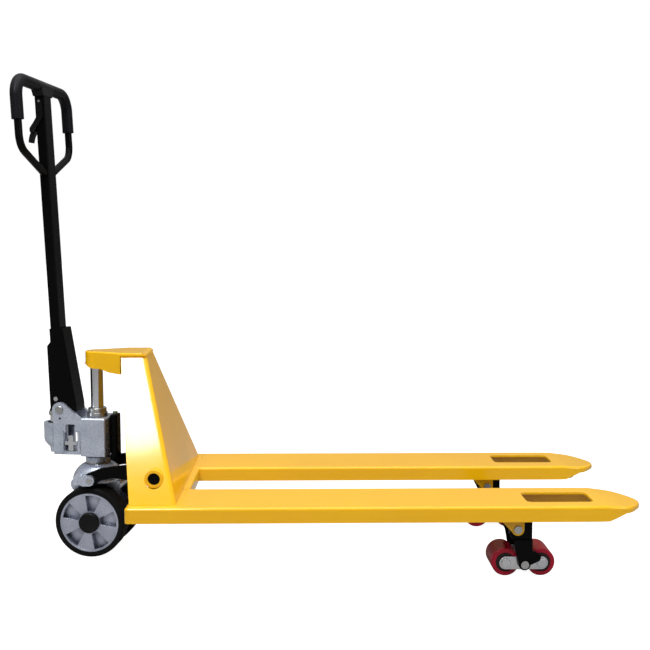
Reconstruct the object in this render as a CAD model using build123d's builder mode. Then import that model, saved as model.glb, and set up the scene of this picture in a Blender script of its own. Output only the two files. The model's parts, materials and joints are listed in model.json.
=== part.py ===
from build123d import *

import os
from math import cos, radians, sin

# A hand pallet truck in its raised state. +X runs towards the fork tips, +Z is up and the
# origin is on the ground below the steering axis, which is also the axis of the piston.
# "Left" is the +Y side, as seen by someone who stands at the handle and faces the forks.
SIDES = {"left": 1, "right": -1}

# Forks
FORK_TOP = 181
FORK_DEPTH = 36.5
FORK_WIDTH = 167
FORK_SPREAD = 540
FORK_REAR_X = 114
FORK_TIP_X = 1330
FORK_SHEET = 5
FOLD_RADIUS = 7
NOSE_START_X = 1192
NOSE_X = 1230
NOSE_CAVITY_X = 1277
NOSE_PLAN = ((0.35, 0.965), (0.64, 0.86), (0.86, 0.52), (0.95, 0.3))
TIP_TOP = 171.5
TIP_BOTTOM = 160.5
FORK_BOTTOM = FORK_TOP - FORK_DEPTH
FORK_Y = (FORK_SPREAD - FORK_WIDTH) / 2
WINDOW_X = 1131
WINDOW_Y = 190.5
WINDOW_LENGTH = 159
WINDOW_WIDTH = 81
WINDOW_RADIUS = 13
WELD_LINE_X = 240
TIP_ROLLER = (1253, 157)

# Head frame: an A-shaped folded plate, narrow at the top
HEAD_TOP = 504
HEAD_TOP_HALF = 55
HEAD_BASE_HALF = 246
HEAD_REAR_TOP_X = 72
HEAD_REAR_BASE_X = 121.5
HEAD_FRONT_TOP_X = 135.5
HEAD_FRONT_BASE_X = 230
HEAD_SHEET = 5.6
HEAD_FOLD = 12
LIP_X = 246
LIP_BOTTOM = 149

# Piston and the bracket that caps it
PISTON_R = 15.8
PISTON_BOTTOM = 256
PISTON_TOP = 496
CAP_TOP = 512
CAP_NOSE_R = 27
CAP_PIN_Z = 480

# Rocker: A is its pivot on the frame, B its eye on the carrier, C the push rod pin
A_X, A_Z = 175, 235
B_X, B_Z = -4, 197
ROCKER_RC = 68.66
ROCKER_HALF_SWING = 15.545
C_X = A_X + ROCKER_RC * sin(radians(ROCKER_HALF_SWING))
C_Z = A_Z - ROCKER_RC * cos(radians(ROCKER_HALF_SWING))
ROCKER_ARM_IN = 66
ROCKER_ARM_OUT = 78
ROD_Y = 182
TUBE_HALF = 188
BOSS_OUT = 217.5
BOSS_IN = 196
BOSS_R = 22
STUB_R = 14.5
RUNNING = 0.05

# Roller bracket: E is its pivot in the fork, D the push rod pin, F the bogie pin
E_X, E_Z = 1028, 119
D_X, D_Z = E_X + 18.4, E_Z + 19.4
ROD_REAR_Z = C_Z - 1.3
ROD_FRONT_Z = D_Z + 3.8
F_X, F_Z = E_X + 18.5, 33
LOAD_ROLLER_R = 33
LOAD_ROLLER_HALF = 38
BOGIE_HALF_BASE = 42.3

# Carrier, steering wheels and pump; these and the handle stand turned by the steering angle
STEERED = Rot(0, 0, -6.7)
CARRIER_BOTTOM = 182
CARRIER_TOP = 224
SPINDLE_R = 23
WHEEL_R = 88
WHEEL_IN = 30
WHEEL_OUT = 80
DISC_R = 74.5
AXLE_R = 10
BEARING_CENTRES = (38, 71)
PUMP_BOTTOM = 247
PUMP_TOP = 344
PUMP_HALF_Y = 42
PUMP_HALF_X = 32.5
EAR_IN = 31
EAR_LEFT = -100.5
WINDOW_CENTRE_X = -57
PLUNGER_X = -110
PLUNGER_R = 14
PLUNGER_CYLINDER_R = 30
LEVER_AXIS_Z = 280
RESERVOIR_X = 43
RESERVOIR_Y = 10

# Handle, drawn on planes that lean back with it
PIVOT_X, PIVOT_Z = -84.5, 365
PIVOT_R = 10
LEAN = radians(2.48)
SHAFT_SET = -4
PIVOT = (PIVOT_X, 0, PIVOT_Z)
ALONG = (-sin(LEAN), 0, cos(LEAN))
ACROSS = (cos(LEAN), 0, sin(LEAN))
SHAFT_FOOT = (PIVOT_X + SHAFT_SET * cos(LEAN), 0, PIVOT_Z + SHAFT_SET * sin(LEAN))
HANDLE_SIDE = Plane(origin=PIVOT, x_dir=ACROSS, z_dir=(0, -1, 0))
HANDLE_FACE = Plane(origin=SHAFT_FOOT, x_dir=(0, 1, 0), z_dir=ACROSS)
HANDLE_CROSS = Plane(origin=SHAFT_FOOT, x_dir=ACROSS, z_dir=ALONG)
SHAFT_X = 25
SHAFT_Y = 48
SHAFT_START = 56
SHAFT_END = 790
BASE_IN = 24
BASE_OUT = 29
BOLT = (-12, 26)
LOOP_HALF = 160
LOOP_LOW = 645
LOOP_JOINT = 588
LOOP_TOP = 803
LOOP_AXIS = Plane(origin=HANDLE_CROSS.from_local_coords((0, 0, LOOP_TOP)), x_dir=ACROSS, z_dir=(0, 1, 0))
LOOP_TUBE_R = 9
LOOP_BEND = 42
GRIP_R = 14.3
GRIP_START = 707
GRIP_END_Y = 47
PRESS_ROLLER_X, PRESS_ROLLER_H = -27, -10
LEVER_X, LEVER_H = -4, 766

os.makedirs("parts", exist_ok=True)


def side_plane(y):
    """The plane at the given Y that shows X to the right and Z up."""
    return Plane.XZ.offset(-y)


def save(part, name):
    """Label a finished piece and write its file."""
    part.label = name
    export_step(part, f"parts/{name}.step")


def save_steered(part, name):
    save(STEERED * part, name)


def mirrored(point):
    return (-point[0], point[1])


# ---------------------------------------------------------------- frame and forks


def nose_outline(centre, half, end_x):
    """The rounded tip of a fork in plan, from its left edge round to its right edge."""
    reach = end_x - NOSE_START_X
    flank = [(NOSE_START_X + reach * along, half * across) for along, across in NOSE_PLAN]
    points = [(NOSE_START_X, half), *flank, (end_x, 0)]
    points += [(x, -y) for x, y in reversed(flank)] + [(NOSE_START_X, -half)]
    Spline(*[(x, centre + y) for x, y in points], tangents=[(1, 0), (-1, 0)])


def fork_block(centre, inset, floor, end_x):
    """The outer shape of a fork, or its hollow when inset is the sheet thickness."""
    half = FORK_WIDTH / 2 - inset
    with BuildPart() as block:
        with BuildSketch(side_plane(centre)):
            with BuildLine():
                Polyline(
                    (FORK_REAR_X + inset, floor),
                    (FORK_REAR_X + inset, FORK_TOP - inset),
                    (NOSE_X, FORK_TOP - inset),
                    (FORK_TIP_X, TIP_TOP - inset),
                    (FORK_TIP_X, TIP_BOTTOM if inset == 0 else floor),
                    (NOSE_CAVITY_X, TIP_BOTTOM if inset == 0 else floor),
                    (NOSE_X + 8, floor),
                    close=True,
                )
            make_face()
        extrude(amount=half, both=True)
        with BuildSketch(Plane.XY.offset(floor - 1)) as plan:
            with BuildLine():
                nose_outline(centre, half, end_x)
                Polyline(
                    (NOSE_START_X, centre - half),
                    (FORK_REAR_X + inset, centre - half),
                    (FORK_REAR_X + inset, centre + half),
                    (NOSE_START_X, centre + half),
                )
            make_face()
            fillet(plan.vertices().group_by(Axis.X)[0], 10 - inset)
        extrude(amount=FORK_TOP, mode=Mode.INTERSECT)
    return block.part


def make_fork(side):
    centre = side * FORK_Y
    outer = fork_block(centre, 0, FORK_BOTTOM, FORK_TIP_X)
    hollow = fork_block(centre, FORK_SHEET, FORK_BOTTOM - 6, FORK_TIP_X - FORK_SHEET)
    with BuildPart() as cavity:
        add(hollow)
        with BuildSketch(side_plane(centre)):
            with Locations((NOSE_CAVITY_X / 2, FORK_BOTTOM)):
                Rectangle(NOSE_CAVITY_X, FORK_TOP)
        extrude(amount=FORK_WIDTH, both=True, mode=Mode.INTERSECT)
    with BuildPart() as fork:
        add(outer)
        long_edges = fork.edges().filter_by(Axis.X).filter_by_position(Axis.Z, FORK_TOP - 1, FORK_TOP + 1)
        fillet(long_edges, FOLD_RADIUS)
        add(cavity.part, mode=Mode.SUBTRACT)
        with BuildSketch(Plane.XY.offset(FORK_TOP + 1)):
            with Locations((WINDOW_X, side * WINDOW_Y)):
                RectangleRounded(WINDOW_LENGTH, WINDOW_WIDTH, WINDOW_RADIUS)
            with Locations((A_X, side * ROD_Y)):
                RectangleRounded(92, 40, 6)
        extrude(amount=-FORK_SHEET - 3, mode=Mode.SUBTRACT)
        with BuildSketch(Plane.XY.offset(FORK_TOP + 1)):
            with Locations((WELD_LINE_X, centre)):
                Rectangle(1, FORK_WIDTH + 2)
        extrude(amount=-1.3, mode=Mode.SUBTRACT)
        with BuildSketch(side_plane(centre)):
            with Locations(TIP_ROLLER):
                Circle(5)
        extrude(amount=70, both=True, mode=Mode.SUBTRACT)
    return fork.part


def head_wedge(inset, floor):
    """The A-shaped wedge, or its hollow when inset is the plate thickness."""
    rear = -2 * inset
    with BuildPart() as wedge:
        with BuildSketch(Plane.XZ):
            with BuildLine():
                Polyline(
                    (HEAD_REAR_BASE_X + rear, floor),
                    (HEAD_REAR_TOP_X + rear, HEAD_TOP + inset),
                    (HEAD_FRONT_TOP_X - inset, HEAD_TOP + inset),
                    (HEAD_FRONT_BASE_X - inset, floor),
                    close=True,
                )
            make_face()
        extrude(amount=HEAD_BASE_HALF + 1, both=True)
        with BuildSketch(Plane.YZ.offset(HEAD_REAR_TOP_X - 20)):
            with BuildLine():
                Polyline(
                    (-HEAD_TOP_HALF + inset, HEAD_TOP + inset),
                    (HEAD_TOP_HALF - inset, HEAD_TOP + inset),
                    (HEAD_BASE_HALF - inset, floor),
                    (-HEAD_BASE_HALF + inset, floor),
                    close=True,
                )
            make_face()
        extrude(amount=FORK_TIP_X, mode=Mode.INTERSECT)
    return wedge.part


def make_head_frame():
    with BuildPart() as hollow:
        add(head_wedge(HEAD_SHEET, FORK_TOP - 0.01))
        front = hollow.faces().sort_by(Axis.X)[-1]
        fillet(front.edges().filter_by(lambda e: abs(e.tangent_at(0.5).Z) > 0.5), HEAD_FOLD - 5)
    with BuildPart() as frame:
        add(head_wedge(0, FORK_TOP))
        front = frame.faces().sort_by(Axis.X)[-1]
        fillet(front.edges().filter_by(lambda e: abs(e.tangent_at(0.5).Z) > 0.5), HEAD_FOLD)
        add(hollow.part, mode=Mode.SUBTRACT)
        with BuildSketch(Plane.XZ):
            with Locations((A_X, A_Z)):
                Circle(BOSS_R)
        extrude(amount=HEAD_BASE_HALF, both=True, mode=Mode.SUBTRACT)
    return frame.part


def make_cross_member():
    """The plate between the forks, with a down-turned lip at the front."""
    half = FORK_Y - FORK_WIDTH / 2
    with BuildPart() as member:
        with BuildSketch(Plane.XZ) as profile:
            with BuildLine():
                Polyline(
                    (FORK_REAR_X + 26, FORK_TOP - 5),
                    (FORK_REAR_X + 26, FORK_TOP),
                    (LIP_X, FORK_TOP),
                    (LIP_X, LIP_BOTTOM),
                    (LIP_X - 5, LIP_BOTTOM),
                    (LIP_X - 5, FORK_TOP - 5),
                    close=True,
                )
            make_face()
            fillet(profile.vertices().group_by(Axis.X)[-1].sort_by(Axis.Y)[-1], 6)
        extrude(amount=half, both=True)
    return member.part


def make_cap_bracket():
    """The cap that sits on the piston and joins the head frame's top."""
    front = HEAD_FRONT_TOP_X + 3
    half = HEAD_TOP_HALF + 5
    with BuildPart() as cap:
        with BuildSketch(Plane.XY.offset(450)) as plan:
            with BuildLine():
                Polyline(
                    (0, CAP_NOSE_R),
                    (HEAD_REAR_TOP_X, half),
                    (front, half),
                    (front, -half),
                    (HEAD_REAR_TOP_X, -half),
                    (0, -CAP_NOSE_R),
                    close=True,
                )
            make_face()
            Circle(CAP_NOSE_R)
            fillet(plan.vertices().group_by(Axis.X)[-1], 10)
        extrude(amount=CAP_TOP - 450)
        with BuildSketch(Plane.XZ):
            with BuildLine():
                Polyline(
                    (-CAP_NOSE_R, 449),
                    (-CAP_NOSE_R, 487),
                    (-CAP_NOSE_R + 3, 478),
                    (-16, 472),
                    (-6, 469),
                    (17, 468.5),
                    (40, 461.5),
                    (HEAD_REAR_TOP_X - 1, 458.5),
                    (HEAD_REAR_TOP_X - 1, 449),
                    close=True,
                )
            make_face()
        extrude(amount=HEAD_BASE_HALF, both=True, mode=Mode.SUBTRACT)
        with BuildSketch(Plane.XZ):
            with BuildLine():
                Polyline(
                    (front - 15, CAP_TOP + 1),
                    (front + 1, CAP_TOP + 1),
                    (front + 1, HEAD_TOP - 8),
                    (front, HEAD_TOP - 6),
                    (front - 5, CAP_TOP - 4),
                    close=True,
                )
            make_face()
        extrude(amount=HEAD_BASE_HALF, both=True, mode=Mode.SUBTRACT)
        with BuildSketch(Plane.XZ):
            with Locations((HEAD_REAR_TOP_X + 62, HEAD_TOP - 60)):
                Rectangle(126, 120)
        extrude(amount=HEAD_BASE_HALF, both=True, mode=Mode.SUBTRACT)
        with BuildSketch(Plane.XY.offset(440)):
            with BuildLine():
                Polyline((30, 24), (76, 42), (76, -42), (30, -24), close=True)
            make_face()
        extrude(amount=HEAD_TOP - 440, mode=Mode.SUBTRACT)
        with BuildSketch(Plane.XY.offset(440)):
            Circle(PISTON_R)
        extrude(amount=PISTON_TOP - 440, mode=Mode.SUBTRACT)
        top = cap.faces().sort_by(Axis.Z)[-1]
        fillet(top.edges(), 4)
        with BuildSketch(Plane.YZ.offset(-PISTON_R - 14)):
            with Locations((0, CAP_PIN_Z)):
                Circle(2.5)
        extrude(amount=13.9, mode=Mode.SUBTRACT)
    return cap.part


def make_cap_pin():
    with BuildPart() as pin:
        with BuildSketch(Plane.YZ.offset(-PISTON_R - 14)):
            with Locations((0, CAP_PIN_Z)):
                Circle(2.5)
        extrude(amount=13.9)
    return pin.part


def make_pivot_bosses():
    """Bearing rings through the side walls, one at each end of the rocker's pivot."""
    with BuildPart() as bosses:
        for side in SIDES.values():
            with BuildSketch(side_plane(side * (BOSS_IN + BOSS_OUT) / 2)):
                with Locations((A_X, A_Z)):
                    Circle(BOSS_R)
                    Circle(STUB_R, mode=Mode.SUBTRACT)
            extrude(amount=(BOSS_OUT - BOSS_IN) / 2, both=True)
    return bosses.part


def make_roller_lugs():
    """Four plates that hang from the fork tops and carry the roller brackets."""
    with BuildPart() as lugs:
        for side in SIDES.values():
            for face in (-1, 1):
                with BuildSketch(side_plane(side * FORK_Y + face * 55)):
                    with BuildLine():
                        Polyline(
                            (E_X - 46, FORK_TOP - FORK_SHEET),
                            (E_X + 15, FORK_TOP - FORK_SHEET),
                            (E_X + 15, E_Z),
                            (E_X - 9, E_Z - 11),
                            (E_X - 43, E_Z + 24),
                            close=True,
                        )
                    make_face()
                    with Locations((E_X, E_Z)):
                        Circle(15)
                        Circle(8, mode=Mode.SUBTRACT)
                extrude(amount=3.5, both=True)
    return lugs.part


def make_roller_pivot_pins():
    with BuildPart() as pins:
        for side in SIDES.values():
            with BuildSketch(side_plane(side * FORK_Y)):
                with Locations((E_X, E_Z)):
                    Circle(8)
            extrude(amount=59, both=True)
            for face in (-1, 1):
                with BuildSketch(side_plane(side * FORK_Y + face * 60.6)):
                    with Locations((E_X, E_Z)):
                        Circle(9.5)
                extrude(amount=2, both=True)
    return pins.part


def make_tip_roller_pins():
    with BuildPart() as pins:
        for side in SIDES.values():
            with BuildSketch(side_plane(side * FORK_Y)):
                with Locations(TIP_ROLLER):
                    Circle(5)
            extrude(amount=70, both=True)
    return pins.part


def make_tip_roller(side):
    with BuildPart() as roller:
        with BuildSketch(side_plane(side * FORK_Y)):
            with Locations(TIP_ROLLER):
                Circle(16)
                Circle(5 + RUNNING, mode=Mode.SUBTRACT)
        extrude(amount=58, both=True)
        chamfer(roller.edges().filter_by(GeomType.CIRCLE).group_by(SortBy.RADIUS)[-1], 2)
    return roller.part


def make_piston_rod():
    with BuildPart() as rod:
        with BuildSketch(Plane.XY.offset(PISTON_BOTTOM)):
            Circle(PISTON_R)
        extrude(amount=PISTON_TOP - PISTON_BOTTOM)
        chamfer(rod.edges().filter_by(GeomType.CIRCLE).group_by(Axis.Z)[0], 2)
    return rod.part


# ---------------------------------------------------------------- rocker and linkage


def make_rocker():
    """A torsion tube with two arms to the carrier and two short arms to the push rods."""
    with BuildPart() as rocker:
        with BuildSketch(Plane.XZ):
            with Locations((A_X, A_Z)):
                Circle(25)
        extrude(amount=TUBE_HALF, both=True)
        with BuildSketch(Plane.XZ):
            with Locations((A_X, A_Z)):
                Circle(STUB_R - RUNNING)
        extrude(amount=BOSS_OUT - 6, both=True)
        for side in SIDES.values():
            arm_y = side * (ROCKER_ARM_IN + ROCKER_ARM_OUT) / 2
            with BuildSketch(side_plane(arm_y)):
                with BuildLine():
                    Polyline(
                        (B_X - 8, B_Z + 15),
                        (22, B_Z + 28),
                        (84, B_Z + 36),
                        (A_X - 6, A_Z + 24),
                        (A_X + 4, A_Z - 24),
                        (84, B_Z - 1),
                        (54, B_Z + 4),
                        (24, B_Z - 1),
                        (B_X + 8, B_Z - 14),
                        close=True,
                    )
                make_face()
                with Locations((B_X, B_Z)):
                    SlotOverall(36, 31)
                with Locations((B_X - 1, B_Z)):
                    SlotOverall(26, 17.8, mode=Mode.SUBTRACT)
            extrude(amount=(ROCKER_ARM_OUT - ROCKER_ARM_IN) / 2, both=True)
            with BuildSketch(side_plane(side * ROD_Y)):
                with BuildLine():
                    Polyline(
                        (A_X - 22, A_Z - 6),
                        (A_X + 22, A_Z),
                        (C_X + 11, C_Z + 3),
                        (C_X - 11, C_Z - 1),
                        close=True,
                    )
                make_face()
                with Locations((C_X, C_Z)):
                    Circle(12)
                    Circle(7, mode=Mode.SUBTRACT)
            extrude(amount=6, both=True)
    return rocker.part


def make_rod_pins():
    """The pins that join the rocker's lower arms to the push rods."""
    with BuildPart() as pins:
        for side in SIDES.values():
            with BuildSketch(side_plane(side * ROD_Y)):
                with Locations((C_X, C_Z)):
                    Circle(7)
            extrude(amount=14, both=True)
    return pins.part


def make_push_rod(side):
    """A bar in the fork, with a clevis at the rocker and a slotted eye at the bracket."""
    y = side * ROD_Y
    start_x = C_X + 24
    end_x = D_X - 10
    with BuildPart() as rod:
        with BuildSketch(side_plane(y)):
            with Locations((C_X, ROD_REAR_Z)):
                SlotOverall(50, 25, rotation=0)
            with Locations((C_X + 12, ROD_REAR_Z)):
                Rectangle(36, 15)
        extrude(amount=12.5, both=True)
        with BuildSketch(side_plane(y)):
            with Locations((C_X - 5, ROD_REAR_Z)):
                Rectangle(46, 60)
        extrude(amount=6.3, both=True, mode=Mode.SUBTRACT)
        with BuildSketch(side_plane(y)):
            with Locations((C_X, ROD_REAR_Z)):
                RectangleRounded(15, 18, 7)
        extrude(amount=13, both=True, mode=Mode.SUBTRACT)
        with BuildSketch(side_plane(y)):
            with BuildLine():
                Polyline(
                    (start_x, ROD_REAR_Z - 7.5),
                    (start_x, ROD_REAR_Z + 7.5),
                    (end_x, ROD_FRONT_Z + 7.5),
                    (end_x, ROD_FRONT_Z - 7.5),
                    close=True,
                )
            make_face()
        extrude(amount=7.5, both=True)
        with BuildSketch(side_plane(y)):
            with Locations((D_X, ROD_FRONT_Z)):
                RectangleRounded(24, 29, 6)
                RectangleRounded(14.6, 20.4, 6, mode=Mode.SUBTRACT)
        extrude(amount=8, both=True)
    return rod.part


def make_roller_bracket(side):
    """Two cheeks, a web and the push rod pin; the lower legs stand wider than the top."""
    centre = side * FORK_Y
    with BuildPart() as bracket:
        for face in (-1, 1):
            with BuildSketch(side_plane(centre + face * 47)):
                with BuildLine():
                    Polyline(
                        (E_X - 18.5, E_Z + 8),
                        (E_X - 4, E_Z + 29),
                        (E_X + 35.5, E_Z + 29),
                        (E_X + 36, E_Z - 32),
                        (E_X - 8, E_Z - 32),
                        (E_X - 18.5, E_Z - 12),
                        close=True,
                    )
                make_face()
            extrude(amount=3, both=True)
            with BuildSketch(side_plane(centre + face * 52.4)):
                with BuildLine():
                    Polyline(
                        (E_X - 8, E_Z - 27),
                        (E_X + 36, E_Z - 27),
                        (E_X + 36, E_Z - 52),
                        (E_X + 51, E_Z - 59),
                        (E_X + 57, E_Z - 66),
                        (E_X + 54, E_Z - 77),
                        (E_X + 30, E_Z - 88),
                        (E_X + 5, E_Z - 89),
                        (E_X - 2, E_Z - 60),
                        close=True,
                    )
                make_face()
                with Locations((F_X, F_Z)):
                    Circle(14)
            extrude(amount=2.8, both=True)
        with BuildSketch(side_plane(centre)):
            with Locations((E_X + 32.5, E_Z - 1.5)):
                Rectangle(7, 15)
        extrude(amount=45, both=True)
        with BuildSketch(side_plane(centre)):
            with Locations((D_X, D_Z)):
                Circle(6)
        extrude(amount=45, both=True)
        with BuildSketch(side_plane(centre)):
            with Locations((E_X, E_Z), (F_X, F_Z)):
                Circle(8 + RUNNING)
        extrude(amount=70, both=True, mode=Mode.SUBTRACT)
    return bracket.part


def make_bogie_pin(side):
    centre = side * FORK_Y
    with BuildPart() as pin:
        with BuildSketch(side_plane(centre)):
            with Locations((F_X, F_Z)):
                Circle(8)
        extrude(amount=56, both=True)
        for face in (-1, 1):
            with BuildSketch(side_plane(centre + face * 57.6)):
                with Locations((F_X, F_Z)):
                    Circle(9.5)
            extrude(amount=2, both=True)
    return pin.part


def make_bogie_links(side):
    """Two link plates with the roller axles riveted into them."""
    centre = side * FORK_Y
    axles = ((F_X - BOGIE_HALF_BASE, F_Z), (F_X + BOGIE_HALF_BASE, F_Z))
    with BuildPart() as links:
        for face in (-1, 1):
            with BuildSketch(side_plane(centre + face * 41.3)):
                with Locations((F_X, F_Z)):
                    SlotCenterToCenter(2 * BOGIE_HALF_BASE, 31)
                    Circle(8 + RUNNING, mode=Mode.SUBTRACT)
            extrude(amount=2.3, both=True)
            with BuildSketch(side_plane(centre + face * 45.3)):
                with Locations(*axles):
                    Circle(10.5)
            extrude(amount=1.7, both=True)
        with BuildSketch(side_plane(centre)):
            with Locations(*axles):
                Circle(8)
        extrude(amount=44, both=True)
    return links.part


def make_roller_core(side, x):
    with BuildPart() as core:
        with BuildSketch(side_plane(side * FORK_Y)):
            with Locations((x, F_Z)):
                Circle(23)
                Circle(8 + RUNNING, mode=Mode.SUBTRACT)
        extrude(amount=LOAD_ROLLER_HALF - 1, both=True)
    return core.part


def make_roller_tread(side, x):
    with BuildPart() as tread:
        with BuildSketch(side_plane(side * FORK_Y)):
            with Locations((x, F_Z)):
                Circle(LOAD_ROLLER_R)
                Circle(23, mode=Mode.SUBTRACT)
        extrude(amount=LOAD_ROLLER_HALF, both=True)
        fillet(tread.edges().filter_by(GeomType.CIRCLE).group_by(SortBy.RADIUS)[-1], 3)
    return tread.part


# ---------------------------------------------------------------- carrier and steering wheels


def make_carrier():
    """The bell above the steering wheels, with a lug on each side for the rocker."""
    with BuildPart() as carrier:
        with BuildSketch(Plane.XZ):
            with BuildLine():
                Line((27, CARRIER_BOTTOM), (63, CARRIER_BOTTOM))
                Line((63, CARRIER_BOTTOM), (64.5, CARRIER_BOTTOM + 6))
                ThreePointArc((64.5, CARRIER_BOTTOM + 6), (56, CARRIER_BOTTOM + 24), (33, CARRIER_TOP))
                Line((33, CARRIER_TOP), (27, CARRIER_TOP))
                Line((27, CARRIER_TOP), (27, CARRIER_BOTTOM))
            make_face()
        revolve(axis=Axis.Z)
        for side in SIDES.values():
            with BuildSketch(side_plane(side * 86)):
                with Locations((B_X - 8.5, B_Z)):
                    SlotOverall(39, 25.4)
            extrude(amount=6, both=True)
            with BuildSketch(side_plane(side * 60)):
                with Locations((-37.5, B_Z)):
                    RectangleRounded(17, 24, 6)
            extrude(amount=24, both=True)
        with BuildSketch(Plane.XY.offset(CARRIER_BOTTOM)):
            Circle(27)
        extrude(amount=CARRIER_TOP - CARRIER_BOTTOM, mode=Mode.SUBTRACT)
        for side in SIDES.values():
            with BuildSketch(side_plane(side * 86)):
                with Locations((B_X, B_Z)):
                    Circle(7)
            extrude(amount=7, both=True, mode=Mode.SUBTRACT)
    return carrier.part


def make_carrier_pins():
    with BuildPart() as pins:
        for side in SIDES.values():
            with BuildSketch(side_plane(side * 79)):
                with Locations((B_X, B_Z)):
                    Circle(7)
            extrude(amount=14.5, both=True)
    return pins.part


def make_carrier_bush():
    with BuildPart() as bush:
        with BuildSketch(Plane.XY.offset(CARRIER_BOTTOM)):
            Circle(27)
            Circle(SPINDLE_R + RUNNING, mode=Mode.SUBTRACT)
        extrude(amount=CARRIER_TOP - CARRIER_BOTTOM)
    return bush.part


def make_thrust_bearing():
    with BuildPart() as bearing:
        with BuildSketch(Plane.XY.offset(CARRIER_TOP + 0.3)):
            Circle(31)
            Circle(SPINDLE_R, mode=Mode.SUBTRACT)
        extrude(amount=5.7)
    return bearing.part


def make_axle_housing():
    """The steered casting between the wheels, with a crown that fits below the bell."""
    crown_top = CARRIER_BOTTOM - 0.5
    with BuildPart() as housing:
        with BuildSketch(Plane.XY.offset(WHEEL_R)):
            Circle(28)
        extrude(amount=crown_top - WHEEL_R)
        with BuildSketch(Plane.XZ):
            with BuildLine():
                Line((-62, crown_top), (62, crown_top))
                ThreePointArc((62, crown_top), (65, 168), (57, 155))
                Line((57, 155), (-57, 155))
                ThreePointArc((-57, 155), (-65, 168), (-62, crown_top))
            make_face()
        extrude(amount=27, both=True)
        with BuildSketch(Plane.XZ):
            with Locations((0, WHEEL_R)):
                Circle(26)
        extrude(amount=WHEEL_IN - 1, both=True)
        with BuildSketch(Plane.XZ):
            with Locations((0, WHEEL_R)):
                Circle(AXLE_R)
        extrude(amount=40, both=True, mode=Mode.SUBTRACT)
        with BuildSketch(Plane.XY.offset(118)):
            Circle(21)
        extrude(amount=80, mode=Mode.SUBTRACT)
    return housing.part


def make_wheel_axle():
    with BuildPart() as axle:
        with BuildSketch(Plane.XZ):
            with Locations((0, WHEEL_R)):
                Circle(AXLE_R)
        extrude(amount=WHEEL_OUT - 2, both=True)
        chamfer(axle.edges().filter_by(GeomType.CIRCLE), 1)
    return axle.part


def make_wheel_bearings():
    with BuildPart() as bearings:
        for side in SIDES.values():
            for y in BEARING_CENTRES:
                with BuildSketch(side_plane(side * y)):
                    with Locations((0, WHEEL_R)):
                        Circle(23.5 - RUNNING)
                        Circle(AXLE_R, mode=Mode.SUBTRACT)
                extrude(amount=7, both=True)
    return bearings.part


def pocket_outline(start):
    """A wheel pocket between its inner and outer radius, 34 degrees wide."""
    corners = ((29, start), (69, start), (70, start + 17), (69, start + 34), (29, start + 34))
    Polyline(
        *[
            (radius * cos(radians(angle)), WHEEL_R + radius * sin(radians(angle)))
            for radius, angle in corners
        ],
        close=True,
    )


def make_wheel_hub(side):
    """The aluminium disc: five deep pockets on each face, with flush pads between them."""
    middle = side * (WHEEL_IN + WHEEL_OUT) / 2
    half = (WHEEL_OUT - WHEEL_IN) / 2
    with BuildPart() as hub:
        with BuildSketch(side_plane(middle)):
            with Locations((0, WHEEL_R)):
                Circle(DISC_R)
        extrude(amount=half - 0.5, both=True)
        for face in (-1, 1):
            for pocket in range(5):
                with BuildSketch(side_plane(middle + face * half)):
                    with BuildLine():
                        pocket_outline(72 * pocket - 8)
                    make_face()
                extrude(amount=16, both=True, mode=Mode.SUBTRACT)
            with BuildSketch(side_plane(middle + face * (half - 1))):
                with Locations((0, WHEEL_R)):
                    Circle(70.5)
            extrude(amount=face * -2, mode=Mode.SUBTRACT)
        with BuildSketch(side_plane(middle)):
            with Locations((0, WHEEL_R)):
                Circle(23.5)
        extrude(amount=half, both=True, mode=Mode.SUBTRACT)
    return hub.part


def make_tyre(side):
    middle = side * (WHEEL_IN + WHEEL_OUT) / 2
    with BuildPart() as tyre:
        with BuildSketch(side_plane(middle)):
            with Locations((0, WHEEL_R)):
                Circle(WHEEL_R)
                Circle(DISC_R, mode=Mode.SUBTRACT)
        extrude(amount=(WHEEL_OUT - WHEEL_IN) / 2, both=True)
        fillet(tyre.edges().filter_by(GeomType.CIRCLE).group_by(SortBy.RADIUS)[-1], 4)
    return tyre.part


def make_hub_cap(side):
    with BuildPart() as cap:
        with BuildSketch(side_plane(side * WHEEL_OUT)):
            with Locations((0, WHEEL_R)):
                Circle(25.5)
        extrude(amount=-side * 7)
        fillet(cap.faces().sort_by(Axis.Y)[-1 if side > 0 else 0].edges(), 3)
        with BuildSketch(side_plane(side * (WHEEL_OUT - 1))):
            with Locations((0, WHEEL_R)):
                Circle(22)
        extrude(amount=-side * 1.5)
    return cap.part


# ---------------------------------------------------------------- pump


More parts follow.
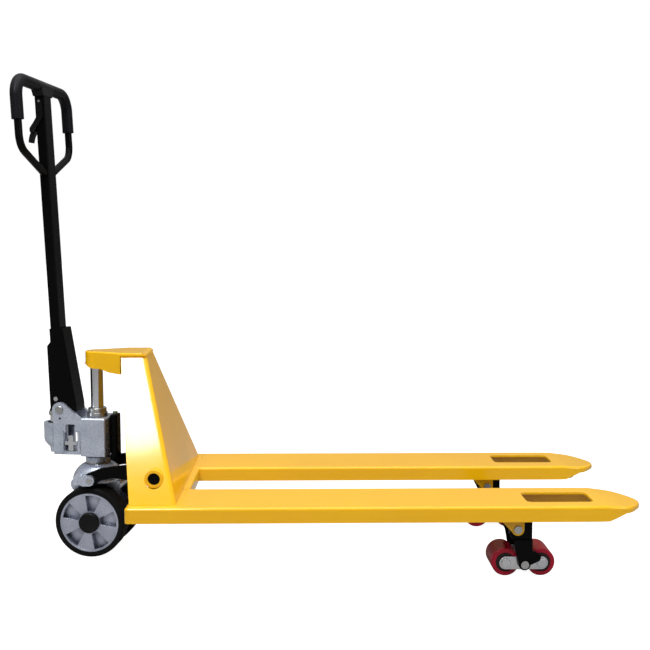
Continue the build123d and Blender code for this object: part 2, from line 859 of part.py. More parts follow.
def make_pump_body():
    """The casting: main block, spindle, two ears for the handle and the plunger's housing."""
    low_z = PUMP_BOTTOM + 4
    with BuildPart() as pump:
        with BuildSketch(Plane.XY.offset(PUMP_BOTTOM)):
            RectangleRounded(2 * PUMP_HALF_X, 2 * PUMP_HALF_Y, 5)
        extrude(amount=PUMP_TOP - PUMP_BOTTOM)
        chamfer(pump.faces().sort_by(Axis.Z)[-1].edges(), 3)
        steps = ((21, 118, 182), (SPINDLE_R, 182, 230), (32, 230, 241), (29, 241, PUMP_BOTTOM))
        for radius, low, high in steps:
            with BuildSketch(Plane.XY.offset(low)):
                Circle(radius)
            extrude(amount=high - low)
        for side in SIDES.values():
            with BuildSketch(side_plane(side * (EAR_IN + PUMP_HALF_Y) / 2)):
                with BuildLine():
                    Polyline(
                        (-28, low_z),
                        (-28, PUMP_TOP - 3),
                        (-72, PIVOT_Z + 13.5),
                        (PIVOT_X - 18.5, PIVOT_Z),
                        (EAR_LEFT, 326),
                        (EAR_LEFT, low_z),
                        close=True,
                    )
                make_face()
                with Locations((PIVOT_X, PIVOT_Z)):
                    Circle(18.5)
            extrude(amount=(PUMP_HALF_Y - EAR_IN) / 2, both=True)
            with BuildSketch(side_plane(side * (PUMP_HALF_Y - 1))):
                with Locations((WINDOW_CENTRE_X - 21, 283), (WINDOW_CENTRE_X + 21.5, 283)):
                    RectangleRounded(6, 58, 2)
            extrude(amount=3, both=True)
        with BuildSketch(Plane.XY.offset(low_z)):
            with Locations((-68, 0)):
                Rectangle(72, 2 * EAR_IN + 4)
        extrude(amount=8)
        with BuildSketch(Plane.XZ):
            with BuildLine():
                Polyline(
                    (PLUNGER_X, low_z - 1),
                    (PLUNGER_X + 15, low_z - 1),
                    (PLUNGER_X + 16, 262),
                    (PLUNGER_X + PLUNGER_CYLINDER_R - 2, 277),
                    (PLUNGER_X + PLUNGER_CYLINDER_R, 285),
                    (PLUNGER_X + PLUNGER_CYLINDER_R, 327),
                    (PLUNGER_X, 327),
                    close=True,
                )
            make_face()
        revolve(axis=Axis((PLUNGER_X, 0, 0), (0, 0, 1)))
        with BuildSketch(Plane.XZ):
            with Locations((WINDOW_CENTRE_X, 294)):
                RectangleRounded(25, 69, 4)
            with Locations((WINDOW_CENTRE_X, 284)):
                RectangleRounded(36, 49, 3)
        extrude(amount=PUMP_HALF_Y + 3, both=True, mode=Mode.SUBTRACT)
        with BuildSketch(Plane.XZ):
            with Locations((PIVOT_X + 1, 343)):
                Circle(3)
            with Locations((PIVOT_X, PIVOT_Z)):
                Circle(PIVOT_R)
        extrude(amount=PUMP_HALF_Y + 1, both=True, mode=Mode.SUBTRACT)
        with BuildSketch(Plane.XY.offset(150)):
            Circle(PISTON_R + RUNNING)
        extrude(amount=PUMP_TOP, mode=Mode.SUBTRACT)
        with BuildSketch(Plane.XY.offset(255)):
            with Locations((PLUNGER_X, 0)):
                Circle(PLUNGER_R + RUNNING)
        extrude(amount=PUMP_TOP, mode=Mode.SUBTRACT)
        with BuildSketch(Plane.XY.offset(312)):
            with Locations((PLUNGER_X, 0)):
                Circle(21)
        extrude(amount=60, mode=Mode.SUBTRACT)
    return pump.part


def make_gland_nut():
    with BuildPart() as gland:
        for radius, low, high in ((25.5, PUMP_TOP, PUMP_TOP + 10), (23, PUMP_TOP + 10, PUMP_TOP + 22)):
            with BuildSketch(Plane.XY.offset(low)):
                Circle(radius)
            extrude(amount=high - low)
        fillet(gland.edges().filter_by(GeomType.CIRCLE).group_by(Axis.Z)[-1], 2)
        with BuildSketch(Plane.XY.offset(PUMP_TOP)):
            Circle(PISTON_R + RUNNING)
        extrude(amount=30, mode=Mode.SUBTRACT)
    return gland.part


def make_reservoir_cover():
    """The black cover on the front face of the pump block."""
    with BuildPart() as cover:
        with BuildSketch(Plane.XY.offset(236)):
            with Locations((RESERVOIR_X, RESERVOIR_Y)):
                RectangleRounded(18, 36, 5)
        extrude(amount=112)
        fillet(cover.edges().group_by(Axis.Z)[-1], 3)
        with BuildSketch(Plane.XY.offset(250)):
            with Locations((RESERVOIR_X - 6, RESERVOIR_Y)):
                Rectangle(12, 30)
        extrude(amount=80)
        with BuildSketch(Plane.XY.offset(PUMP_BOTTOM - 5)):
            Rectangle(2 * PUMP_HALF_X, 2 * PUMP_HALF_Y)
        extrude(amount=PUMP_TOP, mode=Mode.SUBTRACT)
    return cover.part


def make_filler_plug():
    with BuildPart() as plug:
        with BuildSketch(Plane.XY.offset(348)):
            with Locations((RESERVOIR_X, RESERVOIR_Y)):
                RegularPolygon(6.5, 6)
        extrude(amount=6)
    return plug.part


def make_release_lever():
    """A cross-shaped lever in the casting's window, on a short stub."""
    with BuildPart() as lever:
        with BuildSketch(side_plane(-38)):
            with Locations((WINDOW_CENTRE_X, LEVER_AXIS_Z)):
                RectangleRounded(13, 39, 2)
                RectangleRounded(32, 9, 2)
        extrude(amount=2.5, both=True)
        with BuildSketch(side_plane(-30)):
            with Locations((WINDOW_CENTRE_X, LEVER_AXIS_Z)):
                Circle(4)
        extrude(amount=7, both=True)
    return lever.part


def make_plunger():
    with BuildPart() as plunger:
        with BuildSketch(Plane.XY.offset(286)):
            with Locations((PLUNGER_X, 0)):
                Circle(PLUNGER_R)
        extrude(amount=57.5)
        fillet(plunger.edges().group_by(Axis.Z)[-1], 2)
    return plunger.part


def make_handle_pivot_pin():
    with BuildPart() as pin:
        with BuildSketch(Plane.XZ):
            with Locations((PIVOT_X, PIVOT_Z)):
                Circle(PIVOT_R)
        extrude(amount=PUMP_HALF_Y + 3, both=True)
        chamfer(pin.edges().filter_by(GeomType.CIRCLE), 1)
    return pin.part


# ---------------------------------------------------------------- handle

def base_outline():
    """Side outline of the base channel."""
    Polyline(
        (-27.5, 19.5),
        (-25.5, 160.5),
        (-16.5, 171),
        (-16.5, 204),
        (18, 204),
        (40.5, 9),
        (40.5, -8),
        (1.5, -12.5),
        (-21.5, -16.5),
        (-30.5, -14),
        (-32, -6),
        (-27.5, 4),
        close=True,
    )


def make_handle_base():
    with BuildPart() as base:
        with BuildSketch(HANDLE_SIDE):
            with BuildLine():
                base_outline()
            make_face()
        extrude(amount=BASE_OUT, both=True)
        with BuildSketch(HANDLE_SIDE):
            with BuildLine():
                Polyline((-60, -40), (-60, 215), (12, 215), (34, 8), (34, -40), close=True)
            make_face()
        extrude(amount=BASE_IN, both=True, mode=Mode.SUBTRACT)
        with BuildSketch(HANDLE_SIDE):
            Circle(PIVOT_R + RUNNING)
            with Locations((PRESS_ROLLER_X, PRESS_ROLLER_H)):
                Circle(3 + RUNNING)
            with Locations(BOLT):
                Circle(4)
        extrude(amount=BASE_OUT + 1, both=True, mode=Mode.SUBTRACT)
    return base.part


def make_base_bolts():
    """The cross bolt between the plates of the base, with a low head at each end."""
    with BuildPart() as bolts:
        with BuildSketch(HANDLE_SIDE):
            with Locations(BOLT):
                Circle(4)
        extrude(amount=BASE_OUT, both=True)
        for face in (-1, 1):
            with BuildSketch(HANDLE_SIDE.offset(face * BASE_OUT)):
                with Locations(BOLT):
                    RegularPolygon(6, 6)
            extrude(amount=face * 1.6)
    return bolts.part


def make_handle_shaft():
    with BuildPart() as shaft:
        with BuildSketch(HANDLE_CROSS.offset(SHAFT_START)):
            RectangleRounded(SHAFT_X, SHAFT_Y, 4)
            RectangleRounded(SHAFT_X - 6, SHAFT_Y - 6, 2, mode=Mode.SUBTRACT)
        extrude(amount=SHAFT_END - SHAFT_START)
        with BuildSketch(HANDLE_SIDE):
            with Locations((LEVER_X, LEVER_H)):
                Circle(3 + RUNNING)
        extrude(amount=SHAFT_Y, both=True, mode=Mode.SUBTRACT)
    return shaft.part


def make_handle_loop():
    corners = [(18, LOOP_JOINT), (LOOP_HALF, LOOP_LOW), (LOOP_HALF, LOOP_TOP)]
    others = [mirrored(point) for point in reversed(corners)]
    with BuildPart() as loop:
        with BuildLine(HANDLE_FACE) as path:
            FilletPolyline(*corners, *others, radius=LOOP_BEND)
        with BuildSketch(Plane(origin=path.line @ 0, z_dir=path.line % 0)):
            Circle(LOOP_TUBE_R)
        sweep(path=path.line)
        with BuildSketch(HANDLE_CROSS):
            Rectangle(SHAFT_X + 30, SHAFT_Y)
        extrude(amount=LOOP_JOINT + 60, mode=Mode.SUBTRACT)
    return loop.part


def make_handle_grips():
    with BuildPart() as grips:
        for side in SIDES.values():
            with BuildLine(HANDLE_FACE) as path:
                FilletPolyline(
                    (side * LOOP_HALF, GRIP_START),
                    (side * LOOP_HALF, LOOP_TOP),
                    (side * GRIP_END_Y, LOOP_TOP),
                    radius=LOOP_BEND,
                )
            with BuildSketch(Plane(origin=path.line @ 0, z_dir=path.line % 0)):
                Circle(GRIP_R)
                Circle(LOOP_TUBE_R, mode=Mode.SUBTRACT)
            sweep(path=path.line)
    return grips.part


def make_head_housing():
    """A round sleeve over the middle of the loop, flared down onto the shaft."""
    with BuildPart() as housing:
        with BuildSketch(LOOP_AXIS):
            Circle(GRIP_R)
        extrude(amount=GRIP_END_Y, both=True)
        with BuildSketch(HANDLE_FACE) as outline:
            with BuildLine():
                Polyline(
                    (-36, LOOP_TOP - 9),
                    (-36, LOOP_TOP),
                    (36, LOOP_TOP),
                    (36, LOOP_TOP - 9),
                    (27, LOOP_TOP - 24),
                    (-27, LOOP_TOP - 24),
                    close=True,
                )
            make_face()
        extrude(amount=14, both=True)
        with BuildSketch(LOOP_AXIS):
            Circle(LOOP_TUBE_R)
        extrude(amount=60, both=True, mode=Mode.SUBTRACT)
        with BuildSketch(HANDLE_CROSS):
            RectangleRounded(SHAFT_X, SHAFT_Y, 4)
        extrude(amount=SHAFT_END, mode=Mode.SUBTRACT)
    return housing.part


def make_press_roller():
    with BuildPart() as roller:
        with BuildSketch(HANDLE_SIDE):
            with Locations((PRESS_ROLLER_X, PRESS_ROLLER_H)):
                Circle(8)
        extrude(amount=23, both=True)
        with BuildSketch(HANDLE_SIDE):
            with Locations((PRESS_ROLLER_X, PRESS_ROLLER_H)):
                Circle(3)
        extrude(amount=BASE_OUT + RUNNING, both=True)
        for face in (-1, 1):
            with BuildSketch(HANDLE_SIDE.offset(face * (BASE_OUT + RUNNING))):
                with Locations((PRESS_ROLLER_X, PRESS_ROLLER_H)):
                    Circle(6)
            extrude(amount=face * 1.6)
    return roller.part


def make_control_lever():
    """A forked lever astride the shaft, with a curved finger that stands off behind it."""
    cheek_out = SHAFT_Y / 2 + 4
    with BuildPart() as lever:
        with BuildSketch(HANDLE_SIDE):
            with BuildLine():
                Polyline(
                    (LEVER_X - 7, LEVER_H),
                    (LEVER_X - 6, LEVER_H - 33),
                    (LEVER_X - 17, LEVER_H - 50),
                    (LEVER_X - 28, LEVER_H - 64),
                    (LEVER_X - 28, LEVER_H - 74),
                    (LEVER_X - 19, LEVER_H - 71),
                    (LEVER_X - 4, LEVER_H - 56),
                    (LEVER_X + 7, LEVER_H - 38),
                    (LEVER_X + 7, LEVER_H),
                    close=True,
                )
            make_face()
            with Locations((LEVER_X, LEVER_H)):
                Circle(7)
        extrude(amount=cheek_out, both=True)
        with BuildSketch(HANDLE_SIDE):
            with Locations((LEVER_X + 17, LEVER_H - 35)):
                Rectangle(74, 94)
        extrude(amount=SHAFT_Y / 2 + 0.6, both=True, mode=Mode.SUBTRACT)
        with BuildSketch(HANDLE_SIDE):
            with BuildLine():
                Spline(
                    (LEVER_X - 21, LEVER_H - 54),
                    (LEVER_X - 31, LEVER_H - 69),
                    (LEVER_X - 37, LEVER_H - 82),
                    (LEVER_X - 40, LEVER_H - 97),
                )
                Line((LEVER_X - 40, LEVER_H - 97), (LEVER_X - 33, LEVER_H - 98))
                Spline(
                    (LEVER_X - 33, LEVER_H - 98),
                    (LEVER_X - 30, LEVER_H - 87),
                    (LEVER_X - 27, LEVER_H - 80),
                    (LEVER_X - 21, LEVER_H - 72),
                )
                Line((LEVER_X - 21, LEVER_H - 72), (LEVER_X - 21, LEVER_H - 54))
            make_face()
        extrude(amount=10, both=True)
        with BuildSketch(HANDLE_SIDE):
            with Locations((LEVER_X, LEVER_H)):
                Circle(3 + RUNNING)
        extrude(amount=SHAFT_Y, both=True, mode=Mode.SUBTRACT)
    return lever.part


def make_lever_pin():
    with BuildPart() as pin:
        with BuildSketch(HANDLE_SIDE):
            with Locations((LEVER_X, LEVER_H)):
                Circle(3)
        extrude(amount=SHAFT_Y / 2 + 5, both=True)
    return pin.part


# ---------------------------------------------------------------- the pieces

save(make_head_frame(), "head_frame")
save(make_cap_bracket(), "cap_bracket")
save(make_cap_pin(), "cap_pin")
save(make_cross_member(), "cross_member")
save(make_pivot_bosses(), "pivot_bosses")
save(make_roller_lugs(), "roller_lugs")
save(make_roller_pivot_pins(), "roller_pivot_pins")
save(make_tip_roller_pins(), "tip_roller_pins")
save(make_piston_rod(), "piston_rod")
save(make_rocker(), "rocker")
save(make_rod_pins(), "rod_pins")
save(make_carrier(), "carrier")
save(make_carrier_pins(), "carrier_pins")
save(make_carrier_bush(), "carrier_bush")
save(make_thrust_bearing(), "thrust_bearing")
save_steered(make_axle_housing(), "axle_housing")
save_steered(make_wheel_axle(), "wheel_axle")
save_steered(make_wheel_bearings(), "wheel_bearings")
save_steered(make_pump_body(), "pump_body")
save_steered(make_gland_nut(), "gland_nut")
save_steered(make_reservoir_cover(), "reservoir_cover")
save_steered(make_filler_plug(), "filler_plug")
save_steered(make_release_lever(), "release_lever")
save_steered(make_plunger(), "plunger")
save_steered(make_handle_pivot_pin(), "handle_pivot_pin")
save_steered(make_handle_base(), "handle_base")
save_steered(make_base_bolts(), "base_bolts")
save_steered(make_handle_shaft(), "handle_shaft")
save_steered(make_handle_loop(), "handle_loop")
save_steered(make_handle_grips(), "handle_grips")
save_steered(make_head_housing(), "head_housing")
save_steered(make_press_roller(), "press_roller")
save_steered(make_control_lever(), "control_lever")
save_steered(make_lever_pin(), "lever_pin")

for name, side in SIDES.items():
    save(make_fork(side), f"{name}_fork")
    save(make_tip_roller(side), f"{name}_tip_roller")
    save(make_push_rod(side), f"{name}_push_rod")
    save(make_roller_bracket(side), f"{name}_roller_bracket")
    save(make_bogie_pin(side), f"{name}_bogie_pin")
    save(make_bogie_links(side), f"{name}_bogie_links")
    save_steered(make_wheel_hub(side), f"{name}_wheel_hub")
    save_steered(make_tyre(side), f"{name}_tyre")
    save_steered(make_hub_cap(side), f"{name}_hub_cap")
    for place, x in (("rear", F_X - BOGIE_HALF_BASE), ("front", F_X + BOGIE_HALF_BASE)):
        save(make_roller_core(side, x), f"{name}_{place}_roller_core")
        save(make_roller_tread(side, x), f"{name}_{place}_roller_tread")
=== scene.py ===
import json
import math

import bmesh
import bpy
from mathutils import Matrix, Vector


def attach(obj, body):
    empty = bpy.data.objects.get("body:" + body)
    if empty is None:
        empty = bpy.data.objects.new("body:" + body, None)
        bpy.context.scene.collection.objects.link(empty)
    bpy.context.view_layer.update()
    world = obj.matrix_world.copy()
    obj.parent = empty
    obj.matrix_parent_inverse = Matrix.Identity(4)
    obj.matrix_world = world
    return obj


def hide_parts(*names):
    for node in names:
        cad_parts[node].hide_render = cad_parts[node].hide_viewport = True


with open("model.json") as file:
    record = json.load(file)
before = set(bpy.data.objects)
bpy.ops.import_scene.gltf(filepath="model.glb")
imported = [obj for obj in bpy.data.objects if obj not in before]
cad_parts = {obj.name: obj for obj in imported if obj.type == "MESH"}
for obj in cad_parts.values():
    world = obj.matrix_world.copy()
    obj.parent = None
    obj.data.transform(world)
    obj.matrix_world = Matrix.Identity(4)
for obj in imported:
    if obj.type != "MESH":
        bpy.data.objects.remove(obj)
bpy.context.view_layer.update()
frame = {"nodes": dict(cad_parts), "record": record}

# ---------------------------------------------------------------- camera
# The viewing angle: the truck from its right side, a little from above.
YAW, PITCH, ROLL = math.radians(1.257), math.radians(5.711), math.radians(0.111)
CAMERA_POS = Vector((0.52784, -2.38259, 0.8145))
LENS, SENSOR = 52.188, 36.0
NEAREST, FARTHEST = 0.05, 60


def make_camera():
    """The camera, from its place and its yaw, pitch and roll."""
    ahead = Vector((math.sin(YAW) * math.cos(PITCH), math.cos(YAW) * math.cos(PITCH), -math.sin(PITCH)))
    level = ahead.cross(Vector((0, 0, 1))).normalized()
    above = level.cross(ahead)
    right = level * math.cos(ROLL) + above * math.sin(ROLL)
    up = -level * math.sin(ROLL) + above * math.cos(ROLL)
    data = bpy.data.cameras.new("camera")
    data.lens, data.sensor_width = LENS, SENSOR
    data.clip_start, data.clip_end = NEAREST, FARTHEST
    camera = bpy.data.objects.new("camera", data)
    matrix = Matrix((right, up, -ahead)).transposed().to_4x4()
    matrix.translation = CAMERA_POS
    camera.matrix_world = matrix
    bpy.context.collection.objects.link(camera)
    bpy.context.scene.camera = camera


# ---------------------------------------------------------------- node helpers


class Nodes:
    """A short way to build a shader tree."""

    def __init__(self, name):
        self.material = bpy.data.materials.new(name)
        self.material.use_nodes = True
        self.tree = self.material.node_tree
        self.shader = self.tree.nodes["Principled BSDF"]

    def add(self, kind, **values):
        node = self.tree.nodes.new(kind)
        for key, value in values.items():
            if key in node.inputs:
                node.inputs[key].default_value = value
            else:
                setattr(node, key, value)
        return node

    def link(self, out, into):
        self.tree.links.new(out, into)
        return out

    def position(self):
        return self.add("ShaderNodeTexCoord").outputs["Object"]

    def noise(self, scale, detail=4.0, rough=0.55, stretch=None, distortion=0.0):
        node = self.add("ShaderNodeTexNoise", Scale=scale, Detail=detail, Roughness=rough,
                        Distortion=distortion)
        source = self.position()
        if stretch:
            mapping = self.add("ShaderNodeMapping")
            mapping.inputs["Scale"].default_value = stretch
            self.link(source, mapping.inputs["Vector"])
            source = mapping.outputs["Vector"]
        self.link(source, node.inputs["Vector"])
        return node.outputs["Fac"]

    def span(self, value, low, high, from_low=0.3, from_high=0.7):
        node = self.add("ShaderNodeMapRange")
        for key, number in (("From Min", from_low), ("From Max", from_high), ("To Min", low),
                            ("To Max", high)):
            node.inputs[key].default_value = number
        self.link(value, node.inputs["Value"])
        return node.outputs["Result"]

    def mix(self, factor, a, b):
        node = self.add("ShaderNodeMix", data_type="RGBA")
        for socket, value in ((0, factor), (6, a), (7, b)):
            if isinstance(value, (tuple, list)):
                node.inputs[socket].default_value = value if len(value) == 4 else (*value, 1)
            elif isinstance(value, float):
                node.inputs[socket].default_value = value
            else:
                self.link(value, node.inputs[socket])
        return node.outputs[2]

    def math(self, operation, a, b=0.0):
        node = self.add("ShaderNodeMath", operation=operation)
        for socket, value in ((0, a), (1, b)):
            if isinstance(value, float):
                node.inputs[socket].default_value = value
            else:
                self.link(value, node.inputs[socket])
        return node.outputs[0]

    def bump(self, height, strength, distance, below=None):
        node = self.add("ShaderNodeBump", Strength=strength, Distance=distance)
        self.link(height, node.inputs["Height"])
        if below:
            self.link(below, node.inputs["Normal"])
        return node.outputs["Normal"]

    def painted_recess_shade(self, shade_reach):
        """0 in the open and 1 deep in corners and recesses: the mask for shade painted into the colour
        there.
        """
        node = self.add("ShaderNodeAmbientOcclusion", samples=6, Distance=shade_reach)
        return self.span(node.outputs["AO"], 1.0, 0.0, 0.25, 0.85)

    def finish(self, colour=None, rough=None, normal=None, **plain):
        for name, source in (("Base Color", colour), ("Roughness", rough), ("Normal", normal)):
            if source is not None:
                self.link(source, self.shader.inputs[name])
        for name, value in plain.items():
            self.shader.inputs[name.replace("_", " ")].default_value = value
        return self.material


def enamel(name, base, dark, gloss=0.22, peel=0.5, coat=0.6, specular=0.5):
    """Sprayed gloss enamel on sheet metal, with orange peel and faint handling marks."""
    n = Nodes(name)
    broad = n.span(n.noise(scale=3.2, detail=3), low=0.0, high=1.0, from_low=0.35, from_high=0.65)
    fine = n.noise(scale=60, detail=5, rough=0.7)
    colour = n.mix(broad, base, dark)
    streaks = n.noise(scale=9, detail=8, rough=0.75, stretch=(1, 14, 14), distortion=0.4)
    scratch = n.span(streaks, low=0.0, high=1.0, from_low=0.63, from_high=0.70)
    rough = n.math("ADD", n.span(fine, gloss * 0.75, gloss * 1.5), n.math("MULTIPLY", scratch, 0.10))
    orange = n.bump(n.noise(scale=260, detail=2, rough=0.5), strength=peel * 0.16, distance=0.0004)
    normal = n.bump(n.noise(scale=14, detail=3), strength=0.10, distance=0.0012, below=orange)
    return n.finish(colour, rough, normal, Metallic=0.0, Coat_Weight=coat, Coat_Roughness=0.08,
                    Specular_IOR_Level=specular)


def cast_paint(name, base, dark, gloss=0.36):
    """Thick paint over a sand casting: pitted, slightly lumpy."""
    n = Nodes(name)
    lumps = n.noise(scale=85, detail=6, rough=0.65)
    pits = n.noise(scale=420, detail=3, rough=0.6)
    patches = n.span(n.noise(scale=22, detail=5, rough=0.6), low=0.0, high=1.0, from_low=0.35, from_high=0.7)
    # Painted shade: corners and recesses are darkened towards a quarter of the dark tone.
    colour = n.mix(n.painted_recess_shade(shade_reach=0.02), n.mix(patches, base, dark), tuple(0.25 * part for part in dark))
    rough = n.span(lumps, gloss * 0.8, gloss * 1.35)
    relief = n.bump(lumps, strength=0.42, distance=0.0008)
    normal = n.bump(pits, strength=0.18, distance=0.0003, below=relief)
    return n.finish(colour, rough, normal, Metallic=0.7, Coat_Weight=0.3, Coat_Roughness=0.15)


def metal(name, base, dark, rough=0.28, grain=(1, 1, 30), scale=40, bump=0.12, shade_reach=0.004):
    """Bare or plated steel with a directional machining grain."""
    n = Nodes(name)
    lines = n.noise(scale, detail=6, rough=0.7, stretch=grain)
    stain = n.span(n.noise(scale=18, detail=4), low=0.0, high=1.0, from_low=0.35, from_high=0.7)
    # Painted shade: corners and recesses are darkened towards a fifth of the dark tone.
    colour = n.mix(n.painted_recess_shade(shade_reach), n.mix(stain, base, dark), tuple(0.2 * part for part in dark))
    return n.finish(colour, n.span(lines, rough * 0.7, rough * 1.5), n.bump(lines, bump, 0.0003),
                    Metallic=1.0)


def chrome(name):
    """Ground and hard-chromed steel."""
    n = Nodes(name)
    haze = n.noise(scale=30, detail=5, rough=0.6, stretch=(1, 1, 5))
    rings = n.noise(scale=300, detail=2, rough=0.5, stretch=(1, 1, 6))
    colour = n.mix(n.span(haze, low=0.0, high=1.0), (0.86, 0.87, 0.88), (0.78, 0.79, 0.81))
    rough = n.span(haze, low=0.05, high=0.14)
    return n.finish(colour, rough, n.bump(rings, strength=0.03, distance=0.0002), Metallic=1.0)


def rubber(name, base, dark, rough=0.62, bump=0.35, scale=180):
    """Dull moulded rubber with a little dust on it."""
    n = Nodes(name)
    grain = n.noise(scale, detail=5, rough=0.7)
    dust = n.span(n.noise(scale=16, detail=5), low=0.0, high=1.0, from_low=0.4, from_high=0.75)
    return n.finish(n.mix(dust, base, dark), n.span(grain, rough * 0.85, rough * 1.15),
                    n.bump(grain, bump, 0.0005), Specular_IOR_Level=0.1)


def moulded(name, base, dark, rough=0.34, specular=0.15):
    """Injection-moulded plastic with a fine spark-eroded grain."""
    n = Nodes(name)
    grain = n.noise(scale=520, detail=3, rough=0.6)
    flow = n.span(n.noise(scale=25, detail=4), low=0.0, high=1.0, from_low=0.35, from_high=0.7)
    colour = n.mix(flow, base, dark)
    return n.finish(colour, n.span(grain, rough * 0.85, rough * 1.2), n.bump(grain, 0.14, 0.0003),
                    Specular_IOR_Level=specular)


def polyurethane(name, base, dark):
    """Cast polyurethane, with a little light in its surface."""
    n = Nodes(name)
    flow = n.noise(scale=45, detail=4, rough=0.6, stretch=(1, 4, 1))
    grain = n.noise(scale=240, detail=3)
    colour = n.mix(n.span(flow, low=0.0, high=1.0), base, dark)
    rough = n.span(grain, low=0.26, high=0.42)
    return n.finish(colour, rough, n.bump(grain, strength=0.12, distance=0.0004),
                    Subsurface_Weight=0.06, Subsurface_Scale=0.004, Specular_IOR_Level=0.25)


# ---------------------------------------------------------------- pieces made from the frame


SAME_POINT = 2e-6
SAME_FACE = math.radians(0.6)


def refined(node, body, width, segments=3, angle=28):
    """A copy of a CAD node's shape with its sharp edges rounded, which stands for the node."""
    source = frame["nodes"][node]
    mesh = source.data.copy()
    mesh.name = node
    mesh.materials.clear()
    work = bmesh.new()
    work.from_mesh(mesh)
    bmesh.ops.remove_doubles(work, verts=work.verts, dist=SAME_POINT)
    bmesh.ops.dissolve_limit(work, angle_limit=SAME_FACE, verts=work.verts, edges=work.edges)
    for face in work.faces:
        face.smooth = True
    work.to_mesh(mesh)
    work.free()
    piece = bpy.data.objects.new(node + "_shell", mesh)
    bpy.context.collection.objects.link(piece)
    bevel = piece.modifiers.new("rounding", "BEVEL")
    bevel.width, bevel.segments = width, segments
    bevel.limit_method, bevel.angle_limit = "ANGLE", math.radians(angle)
    bevel.harden_normals = True
    bevel.use_clamp_overlap = True
    flats = piece.modifiers.new("flat_normals", "WEIGHTED_NORMAL")
    flats.mode, flats.weight, flats.keep_sharp = "FACE_AREA", 100, True
    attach(piece, body)
    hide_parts(node)
    return piece


def paint(piece, material):
    """Makes the given material the piece's only material."""
    piece.data.materials.clear()
    piece.data.materials.append(material)


# ---------------------------------------------------------------- stage


ROOM_LIGHT, WALL_LIGHT, BACKDROP, FLOOR_GLOW = 0.85, 0.10, 1.0, 0.97
FLOOR_SIZE = 40
FLOOR_PALE, FLOOR_DULL = (0.34, 0.34, 0.34), (0.31, 0.31, 0.31)


def make_stage():
    """A pale floor and an even room, both white to the camera and dimmer to everything else."""
    bpy.ops.mesh.primitive_plane_add(size=FLOOR_SIZE, location=(0.6, 0, 0))
    floor = bpy.context.object
    floor.name = "floor"
    n = Nodes("studio_floor")
    shade = n.mix(n.span(n.noise(scale=2.0, detail=2), low=0.0, high=1.0), FLOOR_PALE, FLOOR_DULL)
    seen = n.add("ShaderNodeLightPath").outputs["Is Camera Ray"]
    glow = n.span(seen, low=0.0, high=FLOOR_GLOW, from_low=0.0, from_high=1.0)
    n.link(glow, n.shader.inputs["Emission Strength"])
    floor.data.materials.append(n.finish(shade, Roughness=0.55, Emission_Color=(1, 1, 1, 1)))
    world = bpy.data.worlds.new("studio")
    world.use_nodes = True
    tree = world.node_tree
    seen = tree.nodes.new("ShaderNodeLightPath").outputs["Is Camera Ray"]
    strength = tree.nodes.new("ShaderNodeMapRange")
    strength.inputs["To Max"].default_value = BACKDROP
    height = tree.nodes.new("ShaderNodeSeparateXYZ")
    tree.links.new(tree.nodes.new("ShaderNodeTexCoord").outputs["Generated"], height.inputs[0])
    walls = tree.nodes.new("ShaderNodeMapRange")
    walls.inputs["To Min"].default_value = WALL_LIGHT
    walls.inputs["To Max"].default_value = ROOM_LIGHT
    tree.links.new(height.outputs["Z"], walls.inputs["Value"])
    tree.links.new(walls.outputs["Result"], strength.inputs["To Min"])
    tree.links.new(seen, strength.inputs["Value"])
    tree.links.new(strength.outputs["Result"], tree.nodes["Background"].inputs["Strength"])
    tree.nodes["Background"].inputs["Color"].default_value = (1, 1, 1, 1)
    bpy.context.scene.world = world
    bpy.context.scene.view_settings.view_transform = "Standard"


def area_light(name, place, aim, size, radiance):
    """A round soft light whose surface has the given radiance."""
    data = bpy.data.lights.new(name, "AREA")
    data.shape, data.size = "DISK", size
    data.energy = radiance * math.pi * math.pi * size * size / 4
    lamp = bpy.data.objects.new(name, data)
    lamp.location = place
    lamp.rotation_mode = "QUATERNION"
    lamp.rotation_quaternion = (Vector(aim) - Vector(place)).to_track_quat("-Z", "Y")
    bpy.context.collection.objects.link(lamp)


make_camera()
make_stage()
area_light("key", place=(-0.36, -1.71, 2.49), aim=(0.1, -0.15, 0.38), size=0.68, radiance=30)
area_light("front", place=(3.0, -1.3, 1.3), aim=(0.2, 0.0, 0.3), size=1.3, radiance=3.2)
area_light("overhead", place=(0.5, -0.6, 3.4), aim=(0.5, 0.0, 0.2), size=3.4, radiance=2.6)

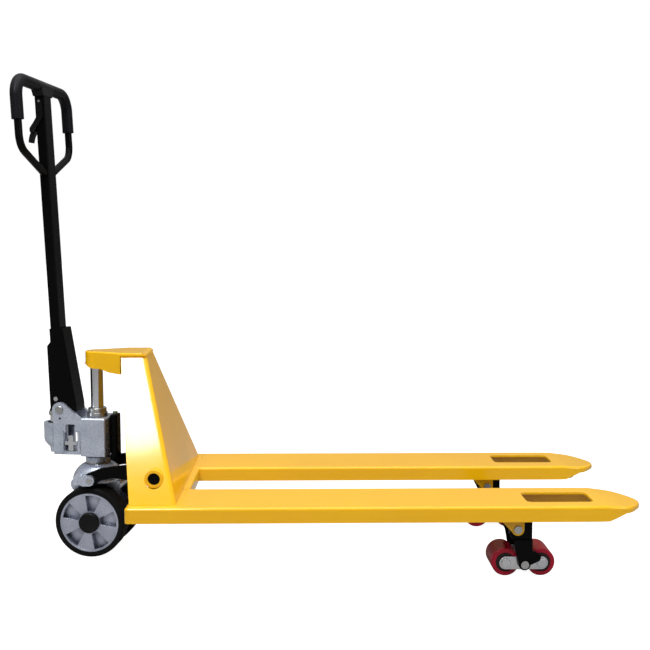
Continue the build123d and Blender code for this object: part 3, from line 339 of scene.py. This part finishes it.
YELLOW = enamel("yellow_enamel", (0.92, 0.50, 0.003), (0.88, 0.46, 0.003),
                gloss=0.14, peel=0.3, coat=0.45, specular=0.25)
BLACK = enamel("black_enamel", (0.002, 0.002, 0.002), (0.003, 0.003, 0.003),
               gloss=0.24, peel=0.6, coat=0.0, specular=0.06)
MATERIALS = {
    "frame_paint": YELLOW,
    "copper_pin": metal("copper", (0.72, 0.36, 0.2), (0.6, 0.28, 0.15), rough=0.3),
    "chrome_rod": chrome("hard_chrome"),
    "pump_paint": cast_paint("silver_paint", (0.66, 0.71, 0.82), (0.50, 0.55, 0.66), gloss=0.26),
    "machined_steel": metal("machined_steel", (0.56, 0.56, 0.55), (0.46, 0.46, 0.46)),
    "zinc_plate": metal("zinc_plate", (0.74, 0.75, 0.77), (0.62, 0.64, 0.68),
                        rough=0.22, grain=(1, 1, 1), scale=60, bump=0.08),
    "bush_bronze": metal("bronze", (0.55, 0.36, 0.15), (0.45, 0.28, 0.11)),
    "black_paint": BLACK,
    "grip_rubber": rubber("grip_rubber", (0.006, 0.006, 0.008), (0.01, 0.01, 0.012), rough=0.42, bump=0.2),
    "black_plastic": moulded("black_plastic", (0.005, 0.005, 0.005), (0.009, 0.009, 0.009)),
    "plug_green": moulded("plug_green", (0.16, 0.2, 0.13), (0.12, 0.16, 0.1)),
    "tyre_rubber": rubber("tyre_rubber", (0.005, 0.005, 0.005), (0.009, 0.009, 0.009)),
    # The wheel alloy gets a wider reach of painted shade, darkening its pockets.
    "wheel_alloy": metal("wheel_alloy", (0.60, 0.63, 0.74), (0.44, 0.47, 0.57),
                         rough=0.28, grain=(1, 1, 1), scale=55, bump=0.2, shade_reach=0.02),
    "roller_pu": polyurethane("roller_pu", (0.40, 0.006, 0.026), (0.26, 0.005, 0.018)),
    "roller_core": rubber("roller_core", (0.03, 0.022, 0.02), (0.02, 0.016, 0.015), rough=0.5),
    "tip_nylon": moulded("tip_nylon", (0.05, 0.05, 0.05), (0.035, 0.035, 0.035), rough=0.45),
}
SLOT_OF = {row["node"]: row["material_slot"] for row in frame["record"]["subparts"]}
BODY_OF = {node: body for body, nodes in frame["record"]["behaviour"]["bodies"].items() for node in nodes}
ROUNDING = 0.0006

for node in sorted(SLOT_OF):
    piece = refined(node, BODY_OF[node], ROUNDING)
    paint(piece, MATERIALS[SLOT_OF[node]])

bpy.context.view_layer.update()
